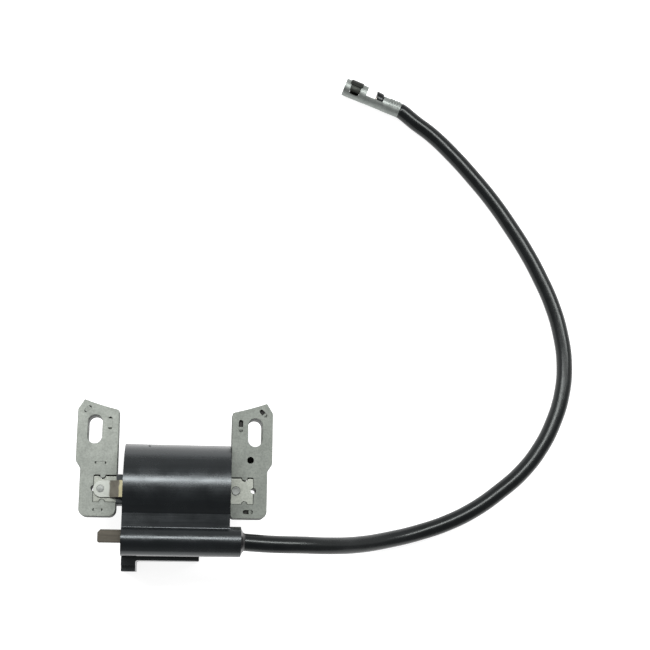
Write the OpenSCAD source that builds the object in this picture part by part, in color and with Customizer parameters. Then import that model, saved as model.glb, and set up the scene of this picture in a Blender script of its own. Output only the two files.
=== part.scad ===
// Small-engine magneto ignition coil: laminated armature, potted coil and
// trigger module, blade terminal, ground strap and spark plug lead.
// Frame: origin midway between the two mounting slots on the mounting face.
// +X to the lead's exit, +Y toward the flywheel rim, +Z out of the front face.

/* [Armature] */
// Thickness of the stack of steel sheets
stack_t = 11; // [8:0.5:14]
// Distance between the centres of the two mounting slots
slot_spacing = 67.4; // [60:0.1:75]
// Width of each mounting slot
slot_w = 6.1; // [5:0.1:7]
// End-to-end length of each mounting slot
slot_l = 12.2; // [9:0.1:14]
// Radius of the flywheel rim that the pole faces follow
rim_r = 112; // [80:1:140]
// Height of the core bar that joins the two legs
bar_h = 10.75; // [9:0.05:13]
// Distance of the coil's axis below the slots
bar_drop = 24.85; // [22:0.05:28]

/* [Housing] */
// Outer radius of the round coil housing
can_r = 19.35; // [17:0.05:21]
// Wall thickness of the plastic housing
wall = 1.75; // [1.2:0.05:2.5]
// Outer radius of the lead outlet tube
tube_r = 6.2; // [5:0.1:7]
// Height of the front of the module cup
cup_front = 10; // [6:0.5:12]
// Height of the open back rim, which the coil lies on
rim_z = -14; // [-16:0.5:-10]
// Height of the potting surface inside the open back
fill_z = -12.6; // [-13.5:0.1:-10]

/* [Lead] */
// Outside diameter of the spark plug lead
lead_d = 7; // [5:0.5:8]
// Inside radius of the plug terminal's barrel
barrel_r = 3.55; // [3:0.05:4]
// Thickness of the plug terminal's sheet
sheet_t = 0.55; // [0.4:0.05:1]

/* [View] */
// Which node to show

/* [Hidden] */
$fn = 96;
steel = [0.62, 0.65, 0.62];
black = [0.16, 0.17, 0.19];
slot_x = slot_spacing / 2;
bar_y = -bar_drop;
mid_z = stack_t / 2;
bar_end = slot_x - 0.4;
bar_top = bar_y - 0.175 + bar_h / 2;
bar_bot = bar_y - 0.175 - bar_h / 2;
tooth_x = slot_x - 4.1;
rivet_x = 26;
notch_y = bar_y + 0.1;
leg_in = 23.9;
can_x0 = -20.75;
can_x1 = 23.45;
web_z = 22;
tube_y = -46.3;
tube_z = 18.5;
tube_x1 = 28.1;
cup_y = -54.1;
cup_x1 = 11.4;
lead_r = lead_d / 2;

// ---------- armature ----------
module corner_cut(x, y, sx, sy, r) {
  translate([x, y]) mirror([sx < 0 ? 1 : 0, 0]) mirror([0, sy < 0 ? 1 : 0])
    difference() {
      translate([-1, -1]) square([r + 1, r + 1]);
      translate([r, r]) circle(r = r);
    }
}

module leg_sheet(inner_corner) {
  difference() {
    polygon([[leg_in, -36.3], [39.1, -36.3], [39.1, -16.5], [41.1, -13.4],
      [41.1, 8.3], [38.4, 12.7], [36, 13.4], [leg_in, 13.4]]);
    translate([0, 5.7 + rim_r]) circle(r = rim_r, $fn = 256);
    translate([slot_x, slot_l / 2 - slot_w / 2]) circle(r = slot_w / 2);
    translate([slot_x, -slot_l / 2 + slot_w / 2]) circle(r = slot_w / 2);
    translate([slot_x - slot_w / 2, -slot_l / 2 + slot_w / 2])
      square([slot_w, slot_l - slot_w]);
    // pocket for the core bar, open toward the coil
    difference() {
      translate([leg_in - 1, bar_bot - 0.05])
        square([bar_end + 0.1 - leg_in + 1, bar_h + 0.55]);
      translate([tooth_x, bar_top + 0.4]) circle(r = 1.2, $fn = 32);
      translate([tooth_x, bar_bot - 0.05]) circle(r = 1.2, $fn = 32);
    }
    translate([bar_end, notch_y]) circle(r = 1.15, $fn = 32);
    corner_cut(39.1, -36.3, -1, 1, 3);
    corner_cut(leg_in, -36.3, 1, 1, inner_corner);
  }
}

// a pressed interlock mark: shallow dimple in the front sheet
module dimple(x, y, a, l, w) {
  translate([x, y, stack_t - 0.45]) rotate([0, 0, a])
    translate([-l / 2, -w / 2, 0]) cube([l, w, 1]);
}

module right_leg() {
  color([0.56, 0.6, 0.57]) difference() {
    linear_extrude(height = stack_t) leg_sheet(1.5);
    dimple(37.0, 8.2, -45, 3.4, 1.6);
    dimple(27.5, 2.65, 90, 4.5, 1.8);
    dimple(31.2, -33.6, 0, 3.7, 1.6);
    translate([31.9, -11.8, stack_t - 6]) cylinder(r = 1.4, h = 7, $fn = 48);
  }
}

module left_leg() {
  color(steel) difference() {
    mirror([1, 0, 0]) linear_extrude(height = stack_t) leg_sheet(3);
    dimple(-37.0, 8.4, 45, 3, 1.4);
    dimple(-27.5, 2.65, 90, 4.6, 1.8);
    dimple(-31.2, -33.6, 0, 3.7, 1.2);
    dimple(-30.8, -14.1, 0, 4.4, 1.0);
  }
}

module core_bar() {
  color([0.72, 0.74, 0.7]) difference() {
    translate([-bar_end, bar_bot, 0]) cube([2 * bar_end, bar_h, stack_t]);
    for (s = [-1, 1]) {
      translate([s * tooth_x, bar_top + 0.2, -1])
        cylinder(r = 1.4, h = stack_t + 2, $fn = 32);
      translate([s * tooth_x, bar_bot - 0.05, -1])
        cylinder(r = 1.3, h = stack_t + 2, $fn = 32);
      translate([s * rivet_x, notch_y - 0.1, -1])
        cylinder(r = 1.5, h = stack_t + 2, $fn = 48);
      translate([s * rivet_x, notch_y - 0.1, -1])
        cylinder(r = 1.8, h = 1.3, $fn = 48);
      translate([s * rivet_x, notch_y - 0.1, stack_t - 0.3])
        cylinder(r = 1.8, h = 1.3, $fn = 48);
      translate([s * bar_end, notch_y, -1])
        cylinder(r = 1.15, h = stack_t + 2, $fn = 32);
    }
  }
}

module rivet(x) {
  translate([x, notch_y - 0.1, 0]) {
    cylinder(r = 1.5, h = stack_t, $fn = 48);
    cylinder(r = 1.8, h = 0.3, $fn = 48);
    translate([0, 0, stack_t - 0.3]) cylinder(r = 1.8, h = 0.3, $fn = 48);
  }
}
module rivet_left() color([0.66, 0.68, 0.66]) rivet(-rivet_x);
module rivet_right() color([0.66, 0.68, 0.66]) rivet(rivet_x);

// ---------- coil windings ----------
module round_block(x0, x1, half, r) {
  translate([x0, bar_y, mid_z]) rotate([90, 0, 90])
    linear_extrude(height = x1 - x0) difference() {
      translate([-half, -half]) square(2 * half);
      for (sx = [-1, 1], sy = [-1, 1])
        corner_cut(sx * half, sy * half, -sx, -sy, r);
    }
}

module bobbin_block() {
  translate([-23.85, -25.1, mid_z]) rotate([90, 0, 90])
    linear_extrude(height = can_x1 + 23.85) difference() {
      translate([-6.25, -6.5]) square([12.5, 13]);
      for (sx = [-1, 1], sy = [-1, 1])
        corner_cut(sx * 6.25, sy * 6.5, -sx, -sy, 0.8);
    }
}

module primary_flanges() {
  round_block(-16.6, -15.6, 9.6, 2.8);
  round_block(19.6, 20.6, 9.6, 2.8);
}

module primary_bobbin() {
  color(black) difference() {
    union() {
      bobbin_block();
      primary_flanges();
    }
    translate([-30, bar_bot - 0.1, -0.1])
      cube([60, bar_h + 0.2, stack_t + 0.2]);
  }
}

module primary_coil_block() round_block(-15.6, 19.6, 9.0, 2.3);
module primary_tape_block() round_block(-15.6, 19.6, 9.25, 2.5);

module primary_winding() {
  color([0.72, 0.38, 0.16]) difference() {
    primary_coil_block();
    bobbin_block();
  }
}

module primary_tape() {
  color([0.85, 0.7, 0.25]) difference() {
    primary_tape_block();
    primary_coil_block();
  }
}

// grooved former that the fine winding lies in, eight sections
sec_x0 = -16.2;
sec_pitch = 4.5;
sec_n = 8;
module along_x(x) translate([x, bar_y, mid_z]) rotate([0, 90, 0]) children();

module sec_former_solid() {
  along_x(sec_x0) cylinder(r = 13.5, h = sec_n * sec_pitch + 0.9);
  for (i = [0 : sec_n]) along_x(sec_x0 + i * sec_pitch)
    cylinder(r = 16.8, h = 0.9);
}

module crossover_notch() {
  translate([sec_x0 - 1, bar_y - 0.7, mid_z - 17.5])
    cube([sec_n * sec_pitch + 3, 1.4, 3.6]);
}

module secondary_bobbin() {
  color([0.85, 0.82, 0.72]) difference() {
    sec_former_solid();
    along_x(sec_x0 - 1) cylinder(r = 12.5, h = 50);
    crossover_notch();
  }
}

module secondary_winding() {
  color([0.62, 0.28, 0.12]) {
    for (i = [0 : sec_n - 1]) along_x(sec_x0 + 0.9 + i * sec_pitch)
      difference() {
        cylinder(r = 15.9, h = sec_pitch - 0.9);
        translate([0, 0, -1]) cylinder(r = 13.5, h = sec_pitch + 1);
      }
    // crossovers from groove to groove, through the notches
    translate([sec_x0 + 1.5, bar_y - 0.6, mid_z - 15.6])
      cube([(sec_n - 1) * sec_pitch + 2, 1.2, 1.2]);
  }
}

// ---------- housing ----------
module yz(x0, x1) {
  translate([x0, 0, 0]) rotate([90, 0, 90]) linear_extrude(height = x1 - x0)
    children();
}

module shell_profile() {
  translate([bar_y, mid_z]) circle(r = can_r, $fn = 180);
  translate([bar_y - can_r, rim_z]) square([2 * can_r, mid_z - rim_z]);
  translate([tube_y, mid_z]) square([tube_y * -1 - 34.05, web_z - mid_z]);
}

module cavity_profile() {
  translate([bar_y, mid_z]) circle(r = can_r - wall, $fn = 180);
  translate([bar_y - can_r + wall, rim_z - 1])
    square([2 * (can_r - wall), mid_z - rim_z + 1]);
  translate([-44.3, mid_z]) square([14.3, web_z - wall - mid_z]);
}

module outlet_tube(x0, x1) {
  translate([x0, tube_y, tube_z]) rotate([0, 90, 0])
    cylinder(r = tube_r, h = x1 - x0);
}

module cavity() {
  difference() {
    union() {
      yz(can_x0 + 1.7, can_x1 - 1.7) cavity_profile();
      translate([can_x0 + 1.7, cup_y + 1.7, rim_z - 1])
        cube([cup_x1 - can_x0 - 3.4, 12, cup_front - 1.7 - rim_z + 1]);
    }
    outlet_tube(can_x0 - 1, tube_x1);
  }
  // pockets moulded into the tube for the blade's tail and the lead's pin
  translate([-18.5, -49, 14.5]) cube([6.5, 10, 5.5]);
  translate([0, -48.2, 16]) cube([6, 9.2, 4.4]);
}

module coil_housing() {
  color(black) difference() {
    union() {
      yz(can_x0, can_x1) shell_profile();
      outlet_tube(can_x0, tube_x1);
      translate([can_x0, -52.3, cup_front - 1])
        cube([cup_x1 - can_x0, 8, tube_z - cup_front + 1]);
      translate([can_x0, cup_y, rim_z])
        cube([cup_x1 - can_x0, 12, cup_front - rim_z]);
      // corner block, stepped at the front, with a small fillet
      translate([can_x0, -56.2, rim_z]) cube([5.9, 3, cup_front - rim_z]);
      translate([can_x0, -58.6, rim_z]) cube([5.9, 3, 7 - rim_z]);
      translate([can_x0 + 5.9, cup_y - 0.9, rim_z]) difference() {
        cube([0.9, 1.5, cup_front - rim_z]);
        translate([0.9, 0, -1]) cylinder(r = 0.9, h = 40, $fn = 32);
      }
    }
    cavity();
    bobbin_block();
    strap_strip();
    blade_strip();
    translate([8.3, tube_y, tube_z]) rotate([0, 90, 0])
      cylinder(r = 3.6, h = 30);
    pin_body();
  }
}

module potting_compound() {
  color([0.12, 0.11, 0.1]) difference() {
    cavity();
    translate([-30, -70, rim_z - 5]) cube([70, 80, fill_z - rim_z + 5]);
    bobbin_block();
    primary_flanges();
    primary_tape_block();
    sec_former_no_bore();
    secondary_winding();
    strap_strip();
    blade_strip();
    pin_body();
    board_block();
    transistor_block();
    small_transistor_block();
    resistor_blocks();
    capacitor_block();
    ground_wire_path();
    board_wire_path();
    kill_wire_path();
    hv_wire_path();
  }
}

module sec_former_no_bore() {
  difference() {
    sec_former_solid();
    along_x(sec_x0 - 1) cylinder(r = 12.5, h = 50);
    crossover_notch();
  }
}

// ---------- metal terminals ----------
module strap_strip() {
  translate([0, -21.5, 0]) rotate([90, 0, 0])
    linear_extrude(height = 7)
      polygon([[-29.9, stack_t], [-26.3, stack_t], [-22.4, 13.9],
        [-20.75, 14.4], [-17.8, 14.4], [-17.8, 15.2], [-20.9, 15.2],
        [-22.8, 14.65], [-26.6, stack_t + 0.8], [-29.9, stack_t + 0.8]]);
}

module ground_strap() {
  color([0.7, 0.7, 0.6]) difference() {
    union() {
      strap_strip();
      translate([-29.9, -25, stack_t])
        cylinder(r = 3.5, h = 0.8, $fn = 64);
    }
    translate([-30.4, -25, stack_t + 0.6]) cylinder(r = 1.55, h = 1, $fn = 48);
  }
}

module blade_strip() {
  translate([0, 0, 16.9]) linear_extrude(height = 0.8)
    polygon([[-30.4, -46.7], [-30.4, -43.1], [-29.2, -41.9], [-14, -41.9],
      [-14, -47.3], [-29.8, -47.3]]);
}
module kill_terminal() color([0.45, 0.42, 0.38]) blade_strip();

module pin_body() {
  translate([1.5, tube_y, tube_z]) rotate([0, 90, 0]) {
    cylinder(r = 1.2, h = 7, $fn = 32);
    cylinder(r = 0.9, h = 10, $fn = 32);
    translate([0, 0, 10]) cylinder(r1 = 0.9, r2 = 0.2, h = 2, $fn = 32);
  }
}
module hv_contact_pin() color([0.8, 0.65, 0.3]) pin_body();

// ---------- trigger module ----------
board_z = -6;
board_top = board_z + 1.6;
module board_block() translate([-18.6, -52, board_z]) cube([27.4, 12.4, 1.6]);
module trigger_board() color([0.15, 0.4, 0.22]) board_block();

module transistor_block() {
  translate([-16.6, -51.4, board_top]) cube([10, 9, 4.4]);
  translate([-17.6, -50.9, board_top]) cube([1, 8, 1.3]);
}
module power_transistor() color([0.2, 0.2, 0.21]) transistor_block();

module small_transistor_block() {
  translate([-3, -46.8, board_top]) difference() {
    cylinder(r = 2.4, h = 4.8, $fn = 48);
    translate([-3, -4.2, -1]) cube([6, 2.8, 7]);
  }
}
module trigger_transistor() color([0.1, 0.1, 0.1]) small_transistor_block();

module resistor_blocks() {
  for (x = [0.9, 3.9]) translate([x, -50, board_top + 1.2])
    rotate([-90, 0, 0]) cylinder(r = 1.15, h = 6.3, $fn = 32);
  translate([0.9, -45.5, board_top + 0.6])
    cube([3, 0.8, 0.8]);
}
module trigger_resistors() color([0.78, 0.66, 0.48]) resistor_blocks();

module capacitor_block() {
  translate([5.6, -50.6, board_top]) cube([2.6, 7.2, 6.4]);
}
module trigger_capacitor() color([0.75, 0.45, 0.15]) capacitor_block();

// ---------- hook-up wires ----------
module rod(a, b, r) {
  d = b - a;
  translate(a) rotate([0, acos(d[2] / norm(d)), atan2(d[1], d[0])])
    cylinder(r = r, h = norm(d), $fn = 24);
}
module wire(p, r) {
  for (i = [0 : len(p) - 2]) rod(p[i], p[i + 1], r);
  for (i = [1 : len(p) - 2]) translate(p[i]) sphere(r = r, $fn = 24);
}
module ground_wire_path() wire([[-14.6, bar_y, 14.75], [-14.6, bar_y, 16.2],
  [-17.2, bar_y, 16.2], [-17.2, bar_y, 15.2]], 0.4);
module board_wire_path() wire([[-14.6, bar_y, -3.75], [-14.6, bar_y, -5.4],
  [-18.2, bar_y, -5.4], [-18.2, -39.6, -5.4]], 0.4);
module kill_wire_path() wire([[-17.9, -41.9, 17.3], [-17.9, -40.1, 17.3],
  [-17.9, -40.1, -4.4]], 0.4);
module hv_wire_path() wire([[17.8, -36.15, 16.8], [17.8, -37.6, 18.5],
  [3, -37.6, 18.5], [3, -45.2, 18.5]], 0.4);
module primary_ground_wire() color([0.75, 0.4, 0.2]) ground_wire_path();
module primary_board_wire() color([0.75, 0.4, 0.2]) board_wire_path();
module kill_wire() color([0.3, 0.3, 0.32]) kill_wire_path();
module hv_link_wire() color([0.75, 0.4, 0.2]) hv_wire_path();

// ---------- spark plug lead ----------
end_a = 159.5;
end_p = [99.2, 155.8, -9.55];
end_u = [cos(end_a), sin(end_a), 0];
end_n = [-sin(end_a), cos(end_a), 0];
// centre line of the lead: leaves the tube, sinks to the floor, sweeps round
route = [[9, -46.3, 18.5], [20, -46.3, 18.5], [30, -46.3, 18.5], [42, -47, 18],
  [54, -47, 15], [66, -47, 9.5], [80, -46, 1], [94, -43.5, -6],
  [108, -40, -10], [121, -35.5, -10.5], [133, -29.5, -10.5],
  [144.5, -21.5, -10.5], [155, -12.5, -10.5], [163.5, -2, -10.5],
  [170, 10, -10.5], [174.5, 23.5, -10.5], [176, 37.5, -10.5],
  [174.5, 51.5, -10.5], [171, 64.5, -10.5], [165.5, 77.5, -10.5],
  [159, 90, -10.5], [151.5, 102, -10.5], [143.5, 113.5, -10.5],
  [134.5, 124.5, -10.5], [125, 135, -10.5], [115, 144.5, -10.5],
  [106.5, 150.5, -9.95], end_p - 0.5 * end_u, end_p + 0.6 * end_u,
  end_p + 8.6 * end_u, end_p + 9.6 * end_u - 0.6 * end_n,
  end_p + 11.9 * end_u - 0.7 * end_n];
n_ring = len(route);
function jr(i) = i == n_ring - 4 || i == n_ring - 3 ? 3.0
  : i >= n_ring - 2 ? 3.2 : lead_r;
function unit(v) = v / norm(v);
function tan_at(i) = i == 0 ? [1, 0, 0]
  : i >= n_ring - 5 ? end_u
  : unit(route[i + 1] - route[i - 1]);
function side_at(i) = unit(cross(tan_at(i), [0, 0, 1]));
function up_at(i) = cross(side_at(i), tan_at(i));
function ring(i, r, m) = [for (k = [0 : m - 1]) route[i]
  + r * cos(360 * k / m) * side_at(i) + r * sin(360 * k / m) * up_at(i)];

// a closed tube along the route; inner radius 0 gives a solid cord
module hollow_cord(i0, i1, m, r_in) {
  n = i1 - i0 + 1;
  pts = concat([for (i = [i0 : i1]) each ring(i, jr(i), m)],
    [for (i = [i0 : i1]) each ring(i, r_in, m)]);
  function o(i, k) = i * m + (k + m) % m;
  function q(i, k) = n * m + i * m + (k + m) % m;
  faces = concat(
    [for (i = [0 : n - 2], k = [0 : m - 1]) [o(i, k), o(i, k + 1), o(i + 1, k + 1)]],
    [for (i = [0 : n - 2], k = [0 : m - 1]) [o(i, k), o(i + 1, k + 1), o(i + 1, k)]],
    [for (i = [0 : n - 2], k = [0 : m - 1]) [q(i, k), q(i + 1, k + 1), q(i, k + 1)]],
    [for (i = [0 : n - 2], k = [0 : m - 1]) [q(i, k), q(i + 1, k), q(i + 1, k + 1)]],
    [for (k = [0 : m - 1]) [o(0, k), q(0, k), q(0, k + 1)]],
    [for (k = [0 : m - 1]) [o(0, k), q(0, k + 1), o(0, k + 1)]],
    [for (k = [0 : m - 1]) [o(n - 1, k), q(n - 1, k + 1), q(n - 1, k)]],
    [for (k = [0 : m - 1]) [o(n - 1, k), o(n - 1, k + 1), q(n - 1, k + 1)]]);
  polyhedron(pts, faces, convexity = 10);
}
module solid_cord(i0, i1, m, r) {
  n = i1 - i0 + 1;
  pts = [for (i = [i0 : i1]) each ring(i, r, m)];
  function o(i, k) = i * m + (k + m) % m;
  faces = concat(
    [for (i = [0 : n - 2], k = [0 : m - 1]) [o(i, k), o(i, k + 1), o(i + 1, k + 1)]],
    [for (i = [0 : n - 2], k = [0 : m - 1]) [o(i, k), o(i + 1, k + 1), o(i + 1, k)]],
    [[for (k = [m - 1 : -1 : 0]) o(0, k)]],
    [[for (k = [0 : m - 1]) o(n - 1, k)]]);
  polyhedron(pts, faces, convexity = 10);
}

module lead_jacket() color([0.1, 0.1, 0.11]) hollow_cord(0, n_ring - 1, 10, 1.35);
module lead_conductor() color([0.6, 0.55, 0.45]) solid_cord(1, n_ring - 2, 10, 1.15);

module lead_seal() {
  color([0.14, 0.14, 0.15])
    translate([tube_x1, tube_y, tube_z]) rotate([0, 90, 0]) difference() {
      union() {
        cylinder(r1 = 5.7, r2 = 4.2, h = 0.9, $fn = 64);
        translate([0, 0, 0.9]) cylinder(r1 = 4.2, r2 = 3.9, h = 0.8, $fn = 64);
      }
      translate([0, 0, -1]) cylinder(r = 3.6, h = 4, $fn = 64);
    }
}

// ---------- plug terminal: x toward its mouth, -y its open side ----------
bar_out = barrel_r + sheet_t;
module at_terminal() translate(end_p) rotate([0, 0, end_a]) children();
module tx(x, y, z) translate([x, y, z]) rotate([0, 90, 0]) children();

module plug_terminal() {
  color([0.78, 0.8, 0.8]) at_terminal() {
    difference() {
      union() {
        tx(17.2, -0.6, 0.15) cylinder(r = bar_out, h = 10.8);
        // trough between the barrel and the crimp
        difference() {
          tx(8.4, -0.4, 0.15) cylinder(r = bar_out - 0.25, h = 8.9);
          translate([7, -10, -10]) cube([11, 10.9, 20]);
        }
      }
      tx(8, -0.4, 0.15) cylinder(r = barrel_r - 0.25, h = 9.25);
      tx(17.1, -0.6, 0.15) cylinder(r = barrel_r, h = 12);
      // windows for the clip's arms, through the front and the back
      translate([20.3, -1.5, -8]) cube([4.9, 2.9, 16]);
      hull() for (x = [21.5, 24])
        translate([x, 1.4, -8]) cylinder(r = 1.2, h = 16, $fn = 32);
    }
    // crimp round the lead, with pressed ribs on its open side
    difference() {
      union() {
        tx(0, 0, 0) cylinder(r = 3.5, h = 8.75);
        difference() {
          for (k = [0 : 3]) tx(1 + 1.3 * k, 0, 0) cylinder(r = 3.8, h = 0.6);
          translate([-1, 0.6, -10]) cube([12, 10, 20]);
        }
      }
      tx(-1, 0, 0) cylinder(r = 3.02, h = 12);
    }
  }
}

module wedge(a0, a1, r) {
  polygon([[0, 0], for (k = [0 : 6]) let (a = a0 + (a1 - a0) * k / 6)
    r * [cos(a), sin(a)]]);
}
module arc_band(x, w, r0, r1, a0, a1) {
  // 0 degrees points to the open side, -y
  tx(x, -0.6, 0.15) rotate([0, 0, 270]) linear_extrude(height = w)
    intersection() {
      difference() {
        circle(r = r1);
        circle(r = r0);
      }
      wedge(a0, a1, 9);
    }
}
module terminal_spring_clip() {
  color([0.25, 0.24, 0.22]) at_terminal() {
    arc_band(19.8, 6, bar_out + 0.03, bar_out + 0.5, -76, 76);
    for (s = [-1, 1]) {
      arc_band(20.6, 4.4, barrel_r + 0.05, bar_out + 0.5, s * 74, s * 80);
      arc_band(20.6, 4.4, barrel_r + 0.05, barrel_r + 0.55, s * 78, s * 122);
    }
  }
}

left_leg();
right_leg();
core_bar();
rivet_left();
rivet_right();
primary_bobbin();
primary_winding();
primary_tape();
secondary_bobbin();
secondary_winding();
coil_housing();
potting_compound();
ground_strap();
kill_terminal();
trigger_board();
power_transistor();
trigger_transistor();
trigger_resistors();
trigger_capacitor();
hv_contact_pin();
primary_ground_wire();
primary_board_wire();
kill_wire();
hv_link_wire();
lead_seal();
lead_jacket();
lead_conductor();
plug_terminal();
terminal_spring_clip();
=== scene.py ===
# Magneto ignition coil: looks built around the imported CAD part, in metres.
import math
import random

import bmesh
import bpy
from mathutils import Euler, Matrix, Vector
from mathutils.geometry import tessellate_polygon


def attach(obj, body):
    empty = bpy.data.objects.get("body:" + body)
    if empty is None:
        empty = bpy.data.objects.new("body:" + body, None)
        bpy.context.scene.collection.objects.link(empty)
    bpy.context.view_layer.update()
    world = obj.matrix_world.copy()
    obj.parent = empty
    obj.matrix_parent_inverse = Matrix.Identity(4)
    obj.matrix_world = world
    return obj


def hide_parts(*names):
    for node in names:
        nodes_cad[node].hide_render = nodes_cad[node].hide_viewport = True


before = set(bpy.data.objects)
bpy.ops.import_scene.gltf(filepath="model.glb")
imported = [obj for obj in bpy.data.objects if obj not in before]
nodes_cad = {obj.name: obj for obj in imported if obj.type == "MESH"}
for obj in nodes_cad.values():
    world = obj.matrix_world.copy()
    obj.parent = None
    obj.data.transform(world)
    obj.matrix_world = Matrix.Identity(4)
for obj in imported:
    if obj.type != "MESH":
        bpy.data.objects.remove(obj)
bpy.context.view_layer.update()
MM = 0.001
rng = random.Random(11)  # small shifts of the stamped sheets


# ---------------------------------------------------------------- materials
class Mat:
    """A small helper round a node tree with one Principled shader."""

    def __init__(self, name, metallic=0.0, specular=0.5, tint=(1, 1, 1)):
        self.m = bpy.data.materials.new(name)
        self.m.use_nodes = True
        self.t = self.m.node_tree
        self.b = self.t.nodes["Principled BSDF"]
        self.b.inputs["Metallic"].default_value = metallic
        self.b.inputs["Specular IOR Level"].default_value = specular
        self.b.inputs["Specular Tint"].default_value = (*tint, 1.0)
        self.coord = self.t.nodes.new("ShaderNodeTexCoord").outputs["Object"]

    def node(self, kind, **values):
        """A new node; values are its inputs' defaults or its own settings."""
        n = self.t.nodes.new(kind)
        for k, v in values.items():
            if k in n.inputs:
                n.inputs[k].default_value = v
            else:
                setattr(n, k, v)
        return n

    def link(self, a, b):
        self.t.links.new(a, b)

    def scaled(self, sx, sy, sz):
        """Object coordinates stretched along each axis."""
        n = self.node("ShaderNodeMapping")
        n.inputs["Scale"].default_value = (sx, sy, sz)
        self.link(self.coord, n.inputs["Vector"])
        return n.outputs["Vector"]

    def noise(self, scale, detail=3.0, rough=0.55, vec=None):
        n = self.node("ShaderNodeTexNoise", Scale=scale, Detail=detail, Roughness=rough)
        self.link(vec or self.coord, n.inputs["Vector"])
        return n.outputs["Fac"]

    def ramp(self, fac, *stops):
        n = self.t.nodes.new("ShaderNodeValToRGB")
        e = n.color_ramp.elements
        while len(e) < len(stops):
            e.new(0.5)
        for i, (pos, col) in enumerate(stops):
            e[i].position = pos
            c = col if hasattr(col, "__len__") else (col, col, col)
            e[i].color = (*c[:3], 1.0)
        self.link(fac, n.inputs["Fac"])
        return n.outputs["Color"]

    def mix(self, fac, a, b, kind="MIX"):
        n = self.node("ShaderNodeMix", data_type="RGBA", blend_type=kind)
        for sock, v in ((n.inputs[6], a), (n.inputs[7], b)):
            if hasattr(v, "is_output"):
                self.link(v, sock)
            else:
                sock.default_value = (*v[:3], 1.0)
        if hasattr(fac, "is_output"):
            self.link(fac, n.inputs[0])
        else:
            n.inputs[0].default_value = fac
        return n.outputs[2]

    def math(self, op, a, b=0.0):
        n = self.node("ShaderNodeMath", operation=op)
        for i, v in enumerate((a, b)):
            if hasattr(v, "is_output"):
                self.link(v, n.inputs[i])
            else:
                n.inputs[i].default_value = v
        return n.outputs[0]

    def color(self, out):
        self.link(out, self.b.inputs["Base Color"])

    def rough(self, out):
        self.link(out, self.b.inputs["Roughness"])

    def bump(self, height, strength=0.3, distance=0.0001):
        n = self.node("ShaderNodeBump", Strength=strength, Distance=distance)
        self.link(height, n.inputs["Height"])
        self.link(n.outputs["Normal"], self.b.inputs["Normal"])


def steel_material(name, light, dark, rough_lo, rough_hi):
    """Stamped sheet: cloudy tone, fine pickled grain and a few darker smudges."""
    m = Mat(name, metallic=0.82, specular=0.5)
    cloud = m.noise(90, 4, 0.6)
    fine = m.noise(1500, 3, 0.6)
    tone = m.ramp(cloud, (0.3, dark), (0.7, light))
    speck = m.ramp(fine, (0.32, 0.78), (0.62, 1.0))
    m.color(m.mix(1.0, tone, speck, "MULTIPLY"))
    m.rough(m.ramp(m.noise(260, 4, 0.6), (0.25, rough_lo), (0.8, rough_hi)))
    m.bump(m.noise(1900, 3, 0.6), 0.35, 0.00006)
    return m.m


def plastic_material(name, base, high, rough_lo, rough_hi):
    """Moulded plastic with a faint drag along X, so highlights break into fine streaks."""
    m = Mat(name, specular=0.55, tint=(0.9, 0.97, 1.0))
    drag = m.noise(420, 4, 0.6, m.scaled(0.035, 1, 1))
    m.color(m.ramp(m.noise(55, 4, 0.55), (0.3, base), (0.75, high)))
    blotch = m.noise(110, 4, 0.6)
    both = m.math("ADD", m.math("MULTIPLY", blotch, 0.5), m.math("MULTIPLY", drag, 0.5))
    m.rough(m.ramp(both, (0.36, rough_lo), (0.64, rough_hi)))
    wave = m.noise(38, 2, 0.5)
    grain = m.noise(2600, 2, 0.5)
    mixed = m.math("ADD", m.math("MULTIPLY", wave, 1.6), m.math("MULTIPLY", grain, 0.3))
    mixed = m.math("ADD", mixed, m.math("MULTIPLY", drag, 0.8))
    m.bump(mixed, 0.25, 0.00008)
    return m.m


# Two tones of one steel: the lighter copy, used on the left leg, is painted light; the darker copy
# below, used on the right leg, is painted shade.
steel = steel_material("stamped_steel", (0.262, 0.279, 0.254), (0.228, 0.245, 0.223), 0.56, 0.7)
steel_dim = steel_material(
    "stamped_steel_painted_shade", (0.195, 0.21, 0.19), (0.166, 0.18, 0.163), 0.56, 0.7)
steel_bar = steel_material("bar_steel", (0.31, 0.325, 0.29), (0.26, 0.275, 0.245), 0.5, 0.66)
steel_rivet = steel_material("rivet_steel", (0.25, 0.262, 0.25), (0.2, 0.212, 0.2), 0.45, 0.6)
steel_edge = steel_material("cut_edge", (0.14, 0.15, 0.135), (0.07, 0.075, 0.07), 0.4, 0.6)

black_plastic = plastic_material(
    "black_plastic", (0.002, 0.0026, 0.003), (0.004, 0.005, 0.006), 0.16, 0.33)
collar_plastic = plastic_material(
    "collar_plastic", (0.0018, 0.002, 0.0022), (0.004, 0.0044, 0.005), 0.4, 0.55)
natural_plastic = plastic_material(
    "natural_plastic", (0.62, 0.56, 0.42), (0.72, 0.66, 0.52), 0.45, 0.6)


def epoxy_material():
    """Potting resin: nearly black, uneven and half glossy."""
    m = Mat("potting_epoxy", specular=0.5)
    m.color(m.ramp(m.noise(70, 4, 0.6), (0.3, (0.010, 0.010, 0.011)), (0.8, (0.022, 0.021, 0.02))))
    m.rough(m.ramp(m.noise(160, 4, 0.6), (0.3, 0.16), (0.8, 0.38)))
    m.bump(m.noise(120, 3, 0.5), 0.35, 0.0004)
    return m.m


epoxy = epoxy_material()


def rubber_material():
    """The lead's jacket: smooth black rubber with a narrow highlight."""
    m = Mat("lead_rubber", specular=0.33, tint=(0.95, 1.0, 0.98))
    dark, light = (0.002, 0.0025, 0.003), (0.004, 0.0048, 0.0055)
    m.color(m.ramp(m.noise(140, 3, 0.5), (0.3, dark), (0.8, light)))
    m.rough(m.ramp(m.noise(300, 3, 0.6), (0.3, 0.2), (0.8, 0.3)))
    m.bump(m.noise(700, 3, 0.5), 0.08, 0.0001)
    return m.m


rubber = rubber_material()


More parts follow.
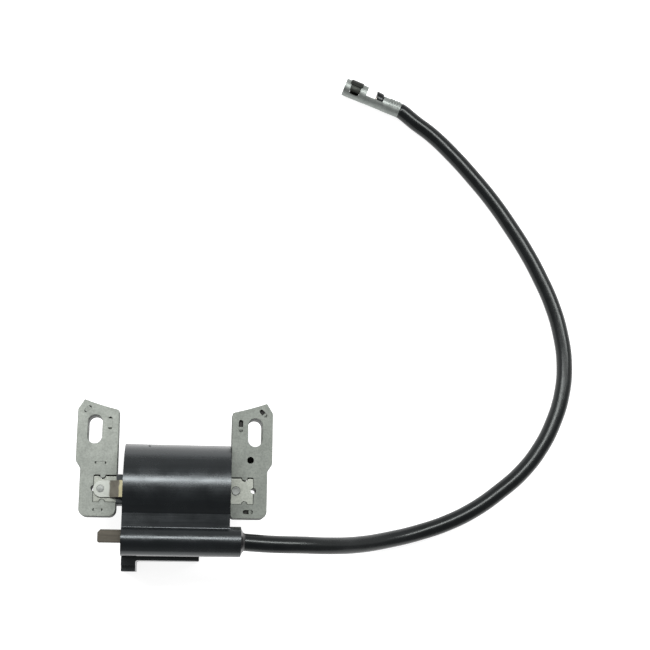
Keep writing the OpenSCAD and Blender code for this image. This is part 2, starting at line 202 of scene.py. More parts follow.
def plated_material(name, light, dark, rough_lo, rough_hi, streak=(1, 1, 1), metallic=0.9):
    """Smooth plated metal; streak stretches its clouds into drawn lines."""
    m = Mat(name, metallic=metallic)
    tone = m.ramp(m.noise(220, 4, 0.6, m.scaled(*streak)), (0.3, dark), (0.72, light))
    m.color(tone)
    m.rough(m.ramp(m.noise(420, 4, 0.6), (0.25, rough_lo), (0.8, rough_hi)))
    m.bump(m.noise(900, 3, 0.6, m.scaled(*streak)), 0.2, 0.00005)
    return m.m


blade_metal = plated_material(
    "blade_metal", (0.085, 0.078, 0.064), (0.056, 0.051, 0.042), 0.42, 0.58, streak=(0.25, 4, 1))
tinned = plated_material(
    "tinned_steel", (0.255, 0.275, 0.262), (0.165, 0.18, 0.17), 0.4, 0.58, metallic=0.8)
dark_spring = plated_material(
    "spring_steel", (0.034, 0.037, 0.033), (0.02, 0.022, 0.0195), 0.4, 0.55)
# Darker copy of the spring steel for the clip's inward faces: painted shade.
spring_inner = plated_material(
    "spring_inner", (0.012, 0.013, 0.012), (0.006, 0.0065, 0.006), 0.4, 0.6)
brass = plated_material("brass_pin", (0.8, 0.62, 0.28), (0.6, 0.45, 0.18), 0.2, 0.4)
strand = plated_material("stranded_wire", (0.66, 0.62, 0.56), (0.45, 0.42, 0.38), 0.25, 0.45)


STRAP_SLOPE_X, STRAP_BEND_X = -26.8, -22.8  # where the strap's painted reflection bands change


def strap_material():
    """Plated strip whose bands along X stand mostly for reflection: pale lug, brownish slope as
    painted shade, straw yellow last bend as painted sheen over the plating's yellow tint.
    """
    m = Mat("strap_metal", metallic=0.85)
    place = m.node("ShaderNodeSeparateXYZ")
    m.link(m.coord, place.inputs[0])
    wobble = m.math("MULTIPLY", m.math("SUBTRACT", m.noise(500, 3), 0.5), 1.2 * MM)
    along = m.math("ADD", place.outputs[0], wobble)

    def past(start, steepness):
        """Runs from 0 to 1 just past the given X."""
        clamp = m.node("ShaderNodeClamp")
        rise = m.math("MULTIPLY", m.math("ADD", along, -start * MM), steepness)
        m.link(rise, clamp.inputs[0])
        return clamp.outputs[0]

    # Painted reflection: the lug's pale tone is painted light, the slope's brown is painted shade
    # and the bend's straw is painted sheen on a yellow plating tint.
    lug = m.ramp(m.noise(300, 4, 0.6), (0.3, (0.27, 0.285, 0.26)), (0.7, (0.335, 0.35, 0.325)))
    brown = m.ramp(m.noise(350, 4, 0.6), (0.3, (0.13, 0.12, 0.1)), (0.7, (0.19, 0.18, 0.148)))
    straw = m.ramp(m.noise(350, 4, 0.6), (0.3, (0.3, 0.275, 0.17)), (0.7, (0.38, 0.355, 0.23)))
    lower = m.mix(past(STRAP_SLOPE_X, 1500.0), lug, brown)
    m.color(m.mix(past(STRAP_BEND_X, 2500.0), lower, straw))
    m.rough(m.ramp(m.noise(600, 3, 0.6), (0.3, 0.42), (0.8, 0.58)))
    m.bump(m.noise(1300, 3, 0.6), 0.25, 0.00006)
    return m.m


strap_metal = strap_material()


def wire_material(name, base, dark, per_metre):
    """Enamelled wire wound round X: fine turns as a banded bump."""
    m = Mat(name, metallic=0.8)
    turns = m.node("ShaderNodeTexWave", Scale=per_metre, Distortion=0.6, Detail=1.0)
    turns.bands_direction = "X"
    m.link(m.coord, turns.inputs["Vector"])
    m.color(m.mix(turns.outputs["Fac"], dark, base))
    m.rough(m.ramp(m.noise(300, 3), (0.3, 0.22), (0.8, 0.4)))
    m.bump(turns.outputs["Fac"], 0.6, 0.0002)
    return m.m


copper = wire_material("copper_wire", (0.75, 0.34, 0.15), (0.36, 0.13, 0.05), 520)
fine_copper = wire_material("fine_copper", (0.5, 0.2, 0.09), (0.26, 0.09, 0.04), 1700)


def simple_material(name, base, high, rough, metallic=0.0):
    """A cloudy, slightly grained surface for small and hidden parts."""
    m = Mat(name, metallic=metallic)
    m.color(m.ramp(m.noise(240, 4, 0.6), (0.3, base), (0.75, high)))
    m.rough(m.ramp(m.noise(420, 3, 0.6), (0.3, rough), (0.8, rough + 0.15)))
    m.bump(m.noise(1500, 3, 0.6), 0.2, 0.00006)
    return m.m


tape = simple_material("tape_film", (0.72, 0.5, 0.12), (0.82, 0.62, 0.2), 0.25)
board_green = simple_material("board_green", (0.03, 0.16, 0.06), (0.05, 0.22, 0.09), 0.4)
# Near-black painted shade for the floors of blind holes and the deepest parts of pressed marks,
# not the steel's own colour.
hole_dark = simple_material("hole_floor_painted_shade", (0.012, 0.012, 0.011), (0.02, 0.02, 0.018), 0.6, 0.5)
part_black = simple_material("component_black", (0.02, 0.02, 0.02), (0.035, 0.035, 0.035), 0.5)
part_tan = simple_material("component_tan", (0.6, 0.42, 0.22), (0.7, 0.52, 0.3), 0.35)
part_orange = simple_material("component_orange", (0.62, 0.22, 0.03), (0.72, 0.3, 0.05), 0.3)
sleeve = simple_material("wire_sleeve", (0.02, 0.02, 0.022), (0.04, 0.04, 0.045), 0.45)

# CAD nodes that are shown as they are, and what each is made of
CARRIED = {
    "primary_winding": copper, "primary_tape": tape, "secondary_bobbin": natural_plastic,
    "secondary_winding": fine_copper, "potting_compound": epoxy,
    "trigger_board": board_green, "power_transistor": part_black,
    "trigger_transistor": part_black, "trigger_resistors": part_tan,
    "trigger_capacitor": part_orange, "hv_contact_pin": brass,
    "primary_ground_wire": copper, "primary_board_wire": copper, "kill_wire": sleeve,
    "hv_link_wire": copper, "lead_conductor": strand,
}
for name, mat in CARRIED.items():
    for part_slot in nodes_cad[name].material_slots:
        part_slot.material = mat


# ---------------------------------------------------------------- mesh tools
def finish_mesh(obj, angle=50):
    """Area-weighted corner normals: flats stay flat and rounded edges carry the turn."""
    me = obj.data
    me.polygons.foreach_set("use_smooth", [True] * len(me.polygons))
    me.update()
    limit = math.cos(math.radians(angle))
    around = [[] for _ in me.vertices]
    faces = [(p.normal.copy(), p.area) for p in me.polygons]
    for p in me.polygons:
        for v in p.vertices:
            around[v].append(p.index)
    out = []
    for p in me.polygons:
        n0 = faces[p.index][0]
        for v in p.vertices:
            total = Vector()
            for g in around[v]:
                n, a = faces[g]
                if n.dot(n0) > limit:
                    total += n * a
            out.append(total.normalized() if total.length_squared > 0 else n0)
    me.normals_split_custom_set(out)


def arc(cx, cy, r, a0, a1, n):
    """n + 1 points from angle a0 to a1, in degrees."""
    return [(cx + r * math.cos(math.radians(a0 + (a1 - a0) * i / n)),
             cy + r * math.sin(math.radians(a0 + (a1 - a0) * i / n))) for i in range(n + 1)]


def offset_loop(pts, d):
    """Moves every corner of a closed 2-D loop to its left by d."""
    out = []
    n = len(pts)
    for i in range(n):
        p0, p1, p2 = pts[i - 1], pts[i], pts[(i + 1) % n]
        n1 = Vector((p0[1] - p1[1], p1[0] - p0[0])).normalized()
        n2 = Vector((p1[1] - p2[1], p2[0] - p1[0])).normalized()
        mitre = n1 + n2
        k = mitre.length_squared
        mitre = mitre * (2 / k) if k > 0.3 else n1
        out.append((p1[0] + mitre.x * d, p1[1] + mitre.y * d))
    return out


class Build:
    """Collects vertices in mm, faces and their material numbers, then makes the piece."""

    def __init__(self):
        self.v, self.f, self.m = [], [], []

    def loop(self, pts, z):
        i = len(self.v)
        self.v += [(x, y, z) for x, y in pts]
        return list(range(i, i + len(pts)))

    def ring(self, pts3):
        i = len(self.v)
        self.v += [tuple(p) for p in pts3]
        return list(range(i, i + len(pts3)))

    def bridge(self, a, b, mi=0, closed=True):
        """Joins two rows of as many points by a band of faces."""
        n = len(a)
        for i in range(n if closed else n - 1):
            j = (i + 1) % n
            self.face((a[i], a[j], b[j], b[i]), mi)

    def face(self, idx, mi=0):
        self.f.append(tuple(idx))
        self.m.append(mi)

    def cap(self, loops, mi=0):
        """Fills the first loop, leaving the others open as holes."""
        flat = [i for l in loops for i in l]
        tris = tessellate_polygon([[Vector(self.v[i]) for i in l] for l in loops])
        for t in tris:
            self.face([flat[k] for k in t], mi)

    def prism(self, outer, holes, z0, z1, bevel):
        """outer runs anticlockwise and holes clockwise, so left is into the metal."""
        tops, bots = [], []
        for pts in [outer] + holes:
            if bevel:
                lv = [self.loop(offset_loop(pts, bevel), z0),
                      self.loop(offset_loop(pts, 0.3 * bevel), z0 + 0.3 * bevel),
                      self.loop(pts, z0 + bevel), self.loop(pts, z1 - bevel),
                      self.loop(offset_loop(pts, 0.3 * bevel), z1 - 0.3 * bevel),
                      self.loop(offset_loop(pts, bevel), z1)]
            else:
                lv = [self.loop(pts, z0), self.loop(pts, z1)]
            for a, b in zip(lv, lv[1:]):
                self.bridge(a, b, 1)
            bots.append(lv[0])
            tops.append(lv[-1])
        self.cap(tops)
        self.cap(bots)

    def piece(self, name, mats, angle=50):
        """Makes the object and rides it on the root."""
        me = bpy.data.meshes.new(name)
        me.from_pydata([(x * MM, y * MM, z * MM) for x, y, z in self.v], [], self.f)
        for m in mats:
            me.materials.append(m)
        me.polygons.foreach_set("material_index", self.m)
        bm = bmesh.new()
        bm.from_mesh(me)
        bmesh.ops.recalc_face_normals(bm, faces=bm.faces)
        bm.to_mesh(me)
        bm.free()
        o = bpy.data.objects.new(name, me)
        bpy.context.collection.objects.link(o)
        finish_mesh(o, angle)
        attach(o, "root")
        return o


WEB_Z = 22.0  # front of the housing's web


def refine(node, name, mat, bevel, segments=2, bend=0.0, fillet=0.0):
    """A copy of a CAD solid with its sharp edges rounded, which stands for it.

    bend rounds a strip's soft folds along Y; fillet fills the long creases at the web.
    """
    src = nodes_cad[node]
    bm = bmesh.new()
    bm.from_mesh(src.data)
    bmesh.ops.remove_doubles(bm, verts=bm.verts, dist=2e-6)
    bmesh.ops.dissolve_limit(bm, angle_limit=math.radians(0.6), verts=bm.verts, edges=bm.edges)
    bm.normal_update()
    if bend:
        soft = [e for e in bm.edges if len(e.link_faces) == 2
                and abs((e.verts[0].co - e.verts[1].co).normalized().y) > 0.99
                and 0.15 < e.calc_face_angle(0) < 1.2]
        bmesh.ops.bevel(bm, geom=soft, offset=bend * MM, segments=5, profile=0.5,
                        affect="EDGES", clamp_overlap=True)
        bm.normal_update()
    if fillet:
        inner = [e for e in bm.edges if len(e.link_faces) == 2 and not e.is_convex
                 and abs(e.verts[0].co.x - e.verts[1].co.x) > 10 * MM
                 and e.calc_face_angle(0) > 0.2
                 and abs(e.verts[0].co.z - WEB_Z * MM) < 0.3 * MM]
        bmesh.ops.bevel(bm, geom=inner, offset=fillet * MM, segments=7, profile=0.5,
                        affect="EDGES", clamp_overlap=True)
        bm.normal_update()
    hard = [e for e in bm.edges
            if len(e.link_faces) == 2 and e.calc_face_angle(0) > math.radians(28)]
    bmesh.ops.bevel(bm, geom=hard, offset=bevel * MM, segments=segments, profile=0.5,
                    affect="EDGES", clamp_overlap=True)
    me = bpy.data.meshes.new(name)
    bm.to_mesh(me)
    bm.free()
    me.materials.clear()
    me.materials.append(mat)
    o = bpy.data.objects.new(name, me)
    bpy.context.collection.objects.link(o)
    finish_mesh(o)
    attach(o, "root")
    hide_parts(node)
    return o


# ---------------------------------------------------------------- camera and cord first
cam_data = bpy.data.cameras.new("camera")
cam = bpy.data.objects.new("camera", cam_data)
bpy.context.collection.objects.link(cam)
cam_data.lens = 72.0
cam_data.sensor_width = 36.0
cam_data.clip_start = 0.01
cam_data.clip_end = 10
CAM_TURN = [math.radians(a) for a in (-11.44, 6.11, -1.88)]
CAM_PLACE = (0.00275, -0.06388, 0.56237)
turn = Euler(CAM_TURN, "XYZ").to_matrix()
cam.matrix_world = Matrix.Translation(CAM_PLACE) @ turn.transposed().to_4x4()
bpy.context.scene.camera = cam

# the terminal's own frame: origin at the crimp's mouth, U toward the barrel's mouth
END_A = math.radians(159.5)
END_U = Vector((math.cos(END_A), math.sin(END_A), 0))
END_N = Vector((-math.sin(END_A), math.cos(END_A), 0))
END_P = Vector((99.2, 155.8, -9.55))
# the outlet tube's mouth, and where the jacket starts inside the seal
TUBE_MOUTH = Vector((28.1, -46.3, 18.5))
TUBE_EXIT = TUBE_MOUTH + Vector((0.1, 0, 0))
LEAD_R = 3.6
ROUTE = [(30, -46.3, 18.5), (42, -47, 18), (54, -47, 15), (66, -47, 9.5), (80, -46, 1),
         (94, -43.5, -6), (108, -40, -10), (121, -35.5, -10.5), (133, -29.5, -10.5),
         (144.5, -21.5, -10.5), (155, -12.5, -10.5), (163.5, -2, -10.5), (170, 10, -10.5),
         (174.5, 23.5, -10.5), (176, 37.5, -10.5), (174.5, 51.5, -10.5), (171, 64.5, -10.5),
         (165.5, 77.5, -10.5), (159, 90, -10.5), (151.5, 102, -10.5), (143.5, 113.5, -10.5),
         (134.5, 124.5, -10.5), (125, 135, -10.5), (115, 144.5, -10.5), (106.5, 150.5, -9.95)]
route = [TUBE_EXIT] + [Vector(p) for p in ROUTE[1:]]
route += [END_P + s * END_U for s in (-0.5, 0.6, 4.5, 8.4)]

lead_curve = bpy.data.curves.new("lead_cable", "CURVE")
lead_curve.dimensions = "3D"
sp = lead_curve.splines.new("BEZIER")
sp.bezier_points.add(len(route) - 1)
for bp, p in zip(sp.bezier_points, route):
    bp.co = p * MM
    bp.handle_left_type = bp.handle_right_type = "AUTO"
for bp in sp.bezier_points[-3:]:
    bp.radius = 0.83  # squeezed by the crimp
sp.resolution_u = 12
lead_curve.bevel_depth = LEAD_R * MM
lead_curve.bevel_resolution = 8
lead_curve.use_fill_caps = True
lead_curve.materials.append(rubber)
lead = bpy.data.objects.new("lead_cable", lead_curve)
bpy.context.collection.objects.link(lead)
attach(lead, "root")
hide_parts("lead_jacket")


# ---------------------------------------------------------------- laminated armature
EDGE, MARK_FLOOR, HOLE_DARK = 1, 2, 3  # material numbers beside the sheet's own 0; the last is black painted shade
SHALLOW, DEEP = 0.25, 0.7  # depths past which a pressed mark is painted darker as shade: the cut-edge colour past SHALLOW, black past DEEP
SLOT_X, SLOT_R, SLOT_HALF = 33.7, 3.05, 3.05
LEG_IN, LEG_OUT, LEG_EAR, LEG_BOTTOM = 23.9, 39.1, 41.1, -36.3
FACE_IN, FACE_OUT = 24.9, 37.4  # the pole face's two ends in X
RIM_Y, RIM_R = 117.7, 112.0  # the pole faces' common circle
BAR_T, BAR_B = -19.65, -30.4
TOOTH, NOTCH_X, NOTCH_Y = 29.6, 33.3, -24.75
RIVET_X, RIVET_Y = 26.0, -24.85
STACK = 11.0
SHEETS = 22
PITCH = STACK / SHEETS
SHEET_GAP = 0.035
BLIND_HOLE = (31.9, -11.8, 1.4)
BLIND_DEPTH = 6.0


def leg_loops(inner_r):
    """Right-hand leg: outline anticlockwise, slot clockwise."""
    # foot and stepped outer edge
    o = arc(LEG_IN + inner_r, LEG_BOTTOM + inner_r, inner_r, 180, 270, 6)
    o += arc(LEG_OUT - 3, LEG_BOTTOM + 3, 3, 270, 360, 8)
    o += [(LEG_OUT, -16.8), (39.25, -16.25), (40.9, -13.7), (LEG_EAR, -13.1)]
    o += [(LEG_EAR, 7.9), (40.95, 8.5), (38.7, 12.15), (38.45, 12.4), (38.1, 12.38)]
    # concave pole face, then down the inner edge
    face_x = [FACE_OUT + (FACE_IN - FACE_OUT) * i / 12 for i in range(13)]
    o += [(x, RIM_Y - math.sqrt(RIM_R ** 2 - x * x)) for x in face_x]
    o += [(24.25, 8.25), (23.98, 8.0), (LEG_IN, 7.5)]
    o += [(LEG_IN, BAR_T + 0.5)]
    # pocket for the core bar: upper tooth, notch hole, lower tooth
    o += arc(TOOTH, BAR_T + 0.4, 1.2, 176, 364, 12)
    o += [(32.7, BAR_T + 0.5), (33.2, BAR_T + 0.3), (33.4, BAR_T - 0.2)]
    o += arc(NOTCH_X, NOTCH_Y, 1.15, 84, -84, 14)
    o += [(33.4, BAR_B - 0.05)]
    o += arc(TOOTH, BAR_B - 0.05, 1.2, 0, 180, 12)
    o += [(LEG_IN, BAR_B - 0.05)]
    slot = arc(SLOT_X, SLOT_HALF, SLOT_R, 180, 0, 16)
    slot += arc(SLOT_X, -SLOT_HALF, SLOT_R, 0, -180, 16)
    return o, slot


def placed(pts, dx, dy, turn_by):
    """The points turned about the origin, then moved."""
    c, s = math.cos(turn_by), math.sin(turn_by)
    return [(x * c - y * s + dx, x * s + y * c + dy) for x, y in pts]


def mark_loop(x, y, deg, length, width):
    """Rounded-end pressed mark, clockwise."""
    h, r = length / 2, width / 2
    pts = arc(h - r * 0.6, 0, r, 90, -90, 4) + arc(-h + r * 0.6, 0, r, -90, -270, 4)
    return placed(pts, x, y, math.radians(deg))


def flip(loop):
    """Mirrored in X, with its turning direction kept."""
    return [(-x, y) for x, y in reversed(loop)]


def pressed_tongue(b, x, y, deg, length, width, depth):
    """Pressed interlock: walls and a floor whose depth follows the place along the mark, painted
    darker as shade where it is deep.
    """
    steps = 20
    top = STACK - 0.04
    rows = []
    for i in range(steps + 1):
        t = i / steps
        u = (t - 0.5) * length
        from_end = min(t, 1 - t) * length / (0.35 * width)
        half = width / 2 * math.sqrt(max(0.12, 1 - (1 - min(from_end, 1)) ** 2))
        d = depth(t)
        across = ((-half - 0.1, top), (-half * 0.86, STACK - d), (half * 0.86, STACK - d),
                  (half + 0.1, top))
        flat = placed([(u, v) for v, _ in across], x, y, math.radians(deg))
        rows.append((b.ring([(*xy, z) for xy, (_, z) in zip(flat, across)]), d))
    # Painted shade: deeper parts of the mark get the darker cut-edge colour past SHALLOW and black
    # past DEEP, walls and end faces alike.
    for (p, d0), (q, d1) in zip(rows, rows[1:]):
        d = min(d0, d1)
        look = HOLE_DARK if d > DEEP else EDGE if d > SHALLOW else MARK_FLOOR
        b.bridge(p, q, look, closed=False)
    for row, d in (rows[0], rows[-1]):
        b.face(row, HOLE_DARK if d > DEEP else EDGE)


def ease(t, lo, hi):
    """Smooth step from 0 at lo to 1 at hi."""
    t = min(max((t - lo) / (hi - lo), 0), 1)
    return t * t * (3 - 2 * t)


def faint(t):
    """Shallow mark with a deeper slit at each end."""
    return 0.07 + 0.42 * ease(abs(t - 0.5), 0.4, 0.44)


def deep_end(t):
    """Deep hole at one end, a ramp up to the middle and a narrow slit at the other."""
    return 0.1 + 0.87 * ease(t, 0.4, 0.52) + 0.4 * (1 - ease(t, 0.1, 0.16))


def stack(name, outer, holes, marks, mats, node, rounds=()):
    """A stack of separate stamped sheets; the front ones carry the pressed marks.

    rounds are blind holes, BLIND_DEPTH deep from the front.
    """
    b = Build()
    cuts = [mark_loop(*mk[:5]) for mk in marks]
    for k in range(SHEETS):
        front = k == SHEETS - 1
        z0 = k * PITCH
        z1 = STACK if front else (k + 1) * PITCH - SHEET_GAP
        if front:
            dx = dy = da = 0.0
        else:
            dx, dy = rng.uniform(-0.035, 0.035), rng.uniform(-0.035, 0.035)
            da = rng.uniform(-0.0006, 0.0006)
        loops = [placed(l, dx, dy, da) for l in [outer] + holes]
        extra = cuts if k >= SHEETS - 2 else []
        extra = extra + (list(rounds) if k >= SHEETS - BLIND_DEPTH / PITCH else [])
        b.prism(loops[0], loops[1:] + extra, z0, z1, 0.09 if front else 0.0)
    for mk in marks:
        pressed_tongue(b, *mk)
    for r in rounds:
        # the blind hole's floor is painted black as shade
        cup = b.loop(offset_loop(r, 0.2), STACK - BLIND_DEPTH + 0.02)
        b.cap([cup], HOLE_DARK)
    p = b.piece(name, mats)
    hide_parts(node)
    return p


out_r, slot_r = leg_loops(1.5)
out_l, slot_l = leg_loops(3.0)
out_l, slot_l = flip(out_l), flip(slot_l)
# each mark: x, y, direction in degrees, length, width, depth along it
marks_r = [(37.0, 8.2, 135, 3.4, 1.6, deep_end), (27.5, 2.65, 90, 4.5, 1.8, deep_end),
           (31.2, -33.6, 180, 3.7, 1.6, deep_end)]
marks_l = [(-37.0, 8.4, 45, 3.0, 1.4, faint), (-27.5, 2.65, 90, 4.6, 1.8, faint),
           (-31.2, -33.6, 0, 3.7, 1.2, faint), (-30.8, -14.1, 0, 4.4, 1.0, faint)]
hole_r = list(reversed(arc(*BLIND_HOLE, 0, 345, 23)))
# The left leg gets the lighter, painted-light copy of the steel and the right leg the darker,
# painted-shade copy.
stack("left_leg_sheets", out_l, [slot_l], marks_l, [steel, steel_edge, steel, hole_dark],
      "left_leg")
stack("right_leg_sheets", out_r, [slot_r], marks_r, [steel_dim, steel_edge, steel_dim, hole_dark],
      "right_leg", rounds=[hole_r])


def bar_loops():
    """The core bar's outline, anticlockwise, with tooth and hole notches at both ends."""
    o = arc(TOOTH, BAR_B - 0.05, 1.3, 178, 2, 10)
    o += [(NOTCH_X, BAR_B), (NOTCH_X, NOTCH_Y - 1.15)]
    o += arc(NOTCH_X, NOTCH_Y, 1.12, 268, 92, 12)
    o += [(NOTCH_X, BAR_T - 0.4), (33.18, BAR_T - 0.12), (32.9, BAR_T)]
    o += arc(TOOTH, BAR_T + 0.2, 1.4, -8.2, -171.8, 10)
    o += arc(-TOOTH, BAR_T + 0.2, 1.4, -8.2, -171.8, 10)
    o += [(-32.9, BAR_T), (-33.18, BAR_T - 0.12), (-NOTCH_X, BAR_T - 0.4)]
    o += arc(-NOTCH_X, NOTCH_Y, 1.12, 88, -88, 12)
    o += [(-NOTCH_X, NOTCH_Y - 1.15), (-NOTCH_X, BAR_B)]
    o += arc(-TOOTH, BAR_B - 0.05, 1.3, 178, 2, 10)
    return o


bar_out = bar_loops()
rivet_holes = [list(reversed(arc(s * RIVET_X, RIVET_Y, 1.85, 0, 345, 23))) for s in (1, -1)]
stack("core_bar_sheets", bar_out, rivet_holes, [], [steel_bar, steel_edge, steel_edge],
      "core_bar")


def lathe(name, prof, centre, axis, mat, n=48, angle=50):
    """prof is (radius, height) along axis, in mm."""
    b = Build()
    ax = Vector(axis).normalized()
    u = ax.orthogonal().normalized()
    w = ax.cross(u)
    c = Vector(centre)
    rings = []
    for r, h in prof:
        if r < 1e-6:
            rings.append(b.ring([c + ax * h]))
        else:
            rings.append(b.ring([c + ax * h + (u * math.cos(a) + w * math.sin(a)) * r
                                 for a in [math.tau * i / n for i in range(n)]]))
    for p, q in zip(rings, rings[1:]):
        if len(p) == 1 and len(q) == 1:
            continue
        if len(p) == 1:
            for i in range(n):
                b.face((p[0], q[(i + 1) % n], q[i]))
        elif len(q) == 1:
            for i in range(n):
                b.face((p[i], p[(i + 1) % n], q[0]))
        else:
            b.bridge(p, q)
    return b.piece(name, [mat], angle)


# radius and height, from the back face to the headed front
RIVET_PROFILE = [(0, 0.05), (0.9, 0.02), (1.6, 0), (1.74, 0.08), (1.8, 0.2), (1.8, STACK - 0.25),
                 (1.76, STACK - 0.1), (1.66, STACK - 0.03), (1.5, STACK - 0.02),
                 (1.3, STACK - 0.06), (0.8, STACK - 0.1), (0, STACK - 0.11)]
for side, s in (("left", -1), ("right", 1)):
    rv = lathe(f"rivet_{side}_formed", RIVET_PROFILE, (s * RIVET_X, RIVET_Y, 0), (0, 0, 1),
               steel_rivet)
    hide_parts(f"rivet_{side}")


# ---------------------------------------------------------------- housing and its fittings
refine("coil_housing", "housing_shell", black_plastic, 0.3, 3, fillet=0.9)
GATE_PROFILE = [(0, 0.16), (0.25, 0.2), (0.4, 0.18), (0.48, 0.0), (0.5, -0.12), (0, -0.12)]
lathe("housing_gate_mark", GATE_PROFILE, (-10.6, -6.8, 12.47), (0, 0.933, 0.36),
      collar_plastic)
refine("primary_bobbin", "bobbin_collar", collar_plastic, 0.15, 2)
refine("kill_terminal", "blade_tab", blade_metal, 0.14, 2)
refine("ground_strap", "strap_strip", strap_metal, 0.1, 2, bend=0.45)
WELD_PROFILE = [(0, 0.12), (0.5, 0.11), (1.0, 0.07), (1.35, 0.03), (1.5, 0.02), (1.5, -0.1),
                (0, -0.1)]
STRAP_TOP = STACK + 0.62
lathe("strap_weld_spot", WELD_PROFILE, (-30.4, -25, STRAP_TOP), (0, 0, 1), steel_rivet)

SEAL_PROFILE = [(3.3, 1.9), (3.52, 1.75), (3.75, 1.3), (4.15, 0.85), (4.75, 0.5), (5.3, 0.25),
                (5.72, 0.02), (5.72, -0.3), (3.3, -0.3), (3.3, 1.9)]
seal = lathe("lead_seal_cone", SEAL_PROFILE, TUBE_MOUTH, (1, 0, 0), epoxy, 64, 60)
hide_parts("lead_seal")

# ---------------------------------------------------------------- the lead's end
CRIMP_R = 3.5
BARREL_OFF = (-0.6, 0.15)  # the barrel's axis from the crimp's, along N and Z
CLIP_MID_R = 4.05  # clip faces nearer to the barrel's axis than this face inward and are painted darker as shade
term = refine("plug_terminal", "terminal_strip", tinned, 0.09, 2)


def at_end(x, y, z):
    """Terminal's own coordinates: x to its mouth, -y to its open side."""
    return END_P + END_U * x + END_N * y + Vector((0, 0, z))


def tube_piece(name, path, radii, mat, n=28, slant=0.0):
    """A closed tube through path points, its last ring cut on a slant."""
    b = Build()
    rings = []
    for i, (p, r) in enumerate(zip(path, radii)):
        ring = []
        for k in range(n):
            a = math.tau * k / n
            lean = slant * math.cos(a) if i >= len(path) - 3 else 0.0
            ring.append(at_end(p[0] + lean * r, p[1] - r * math.cos(a), p[2] + r * math.sin(a)))
        rings.append(b.ring(ring))
    for p, q in zip(rings, rings[1:]):
        b.bridge(p, q)
    b.cap([rings[0]])
    b.cap([rings[-1]])
    return b.piece(name, [mat])


STUB_PATH = [(7.9, 0, 0), (8.7, -0.1, 0), (9.2, -0.5, 0), (9.8, -0.75, 0),
             (11.9, -1.0, 0), (12.1, -1.0, 0), (12.25, -1.0, 0)]
STUB_RADII = [2.95, 3.0, 3.45, LEAD_R, LEAD_R, 3.5, 3.2]
stub = tube_piece("lead_cut_end", STUB_PATH, STUB_RADII, rubber, slant=0.2)
core_tip = tube_piece("lead_core_tip", [(11.8, -1.0, 0), (12.5, -1.0, 0), (12.6, -1.0, 0)],
                      [1.1, 1.1, 0.95], strand, 20, 0.1)


def crimp_beads(centres, reach):
    """Rounded beads pressed into the crimp's open side, fading out at both ends."""
    height, half_width, half_steps, around = 0.42, 0.5, 16, 12
    b = Build()
    for x in centres:
        rings = []
        for i in range(-half_steps, half_steps + 1):
            t = i / half_steps
            a = math.radians(reach) * t
            swell = math.sqrt(max(1 - abs(t) ** 6, 0.02))
            ring = []
            for k in range(around):
                c = math.tau * k / around
                r = CRIMP_R + height * swell * math.cos(c)
                bead_x = x + half_width * swell * math.sin(c)
                ring.append(at_end(bead_x, -r * math.cos(a), r * math.sin(a)))
            rings.append(b.ring(ring))
        for p, q in zip(rings, rings[1:]):
            b.bridge(p, q)
        b.cap([rings[0]])
        b.cap([rings[-1]])
    return b.piece("crimp_beads", [tinned], 60)


beads = crimp_beads([1.3 * k for k in (1, 2, 3, 4)], 104)
clip = refine("terminal_spring_clip", "clip_spring", dark_spring, 0.06, 2)
clip.data.materials.append(spring_inner)
barrel_axis = at_end(0, *BARREL_OFF)
# the clip's inward faces get the darker copy of the spring steel as painted shade
for face in clip.data.polygons:
    off = face.center / MM - barrel_axis
    off -= END_U * off.dot(END_U)
    if off.length < CLIP_MID_R:
        face.material_index = 1


# ---------------------------------------------------------------- floor and light
FLOOR_Z = -0.0141


def plane(name, size, z, mat):
    """A square of staging, centred under the origin."""
    me = bpy.data.meshes.new(name)
    h = size / 2
    me.from_pydata([(-h, -h, z), (h, -h, z), (h, h, z), (-h, h, z)], [], [(0, 1, 2, 3)])
    me.materials.append(mat)
    o = bpy.data.objects.new(name, me)
    bpy.context.collection.objects.link(o)


floor_mat = Mat("floor_paper", specular=0.1)
floor_mat.color(floor_mat.ramp(floor_mat.noise(8, 3), (0.3, 0.44), (0.7, 0.46)))
floor_mat.b.inputs["Roughness"].default_value = 0.9
floor_mat.b.inputs["Emission Color"].default_value = (1, 1, 1, 1)
floor_mat.b.inputs["Emission Strength"].default_value = 0.86
plane("floor", 24.0, FLOOR_Z, floor_mat.m)


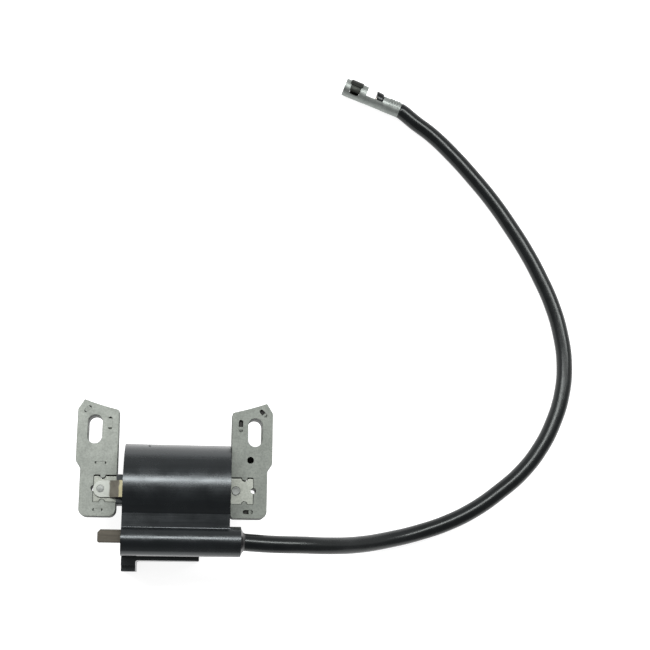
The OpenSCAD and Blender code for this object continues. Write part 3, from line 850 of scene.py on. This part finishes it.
def studio_world():
    """Room light by direction: dim overhead, brighter toward +Y, strongest at both sides."""
    world = bpy.data.worlds.new("studio")
    bpy.context.scene.world = world
    world.use_nodes = True
    tree = world.node_tree
    sky = tree.nodes["Background"]

    def new(kind, **values):
        n = tree.nodes.new(kind)
        for key, v in values.items():
            n.inputs[key.replace("_", " ")].default_value = v
        return n

    direction = new("ShaderNodeTexCoord").outputs["Generated"]
    split = new("ShaderNodeSeparateXYZ")
    tree.links.new(direction, split.inputs[0])

    toward_y = new("ShaderNodeMapRange", From_Min=-1.0, From_Max=1.0)
    tree.links.new(split.outputs["Y"], toward_y.inputs["Value"])
    grade = tree.nodes.new("ShaderNodeValToRGB")
    greys = ((0.0, 0.4), (0.15, 0.2), (0.44, 0.2), (0.57, 0.52), (0.72, 0.5), (1.0, 0.75))
    while len(grade.color_ramp.elements) < len(greys):
        grade.color_ramp.elements.new(0.5)
    for stop, (pos, v) in zip(grade.color_ramp.elements, greys):
        stop.position = pos
        stop.color = (v, v, v, 1)
    tree.links.new(toward_y.outputs["Result"], grade.inputs["Fac"])
    tree.links.new(grade.outputs["Color"], sky.inputs["Color"])

    beside = tree.nodes.new("ShaderNodeMath")
    beside.operation = "ABSOLUTE"
    tree.links.new(split.outputs["X"], beside.inputs[0])
    power = new("ShaderNodeMapRange", From_Min=0.35, From_Max=0.9, To_Min=1.0, To_Max=2.0)
    tree.links.new(beside.outputs[0], power.inputs["Value"])
    tree.links.new(power.outputs["Result"], sky.inputs["Strength"])


studio_world()


def area(name, loc, target, sx, sy, power):
    """A rectangular lamp aimed at target."""
    d = bpy.data.lights.new(name, "AREA")
    d.shape = "RECTANGLE"
    d.size, d.size_y = sx, sy
    d.energy = power
    o = bpy.data.objects.new(name, d)
    bpy.context.collection.objects.link(o)
    o.location = loc
    o.rotation_mode = "QUATERNION"
    o.rotation_quaternion = (Vector(target) - Vector(loc)).to_track_quat("-Z", "Y")


area("key_strip", (0.06, 0.36, 0.90), (0.06, 0.0, 0.0), 1.8, 0.2, 17.0)

bpy.context.scene.view_settings.view_transform = "Standard"
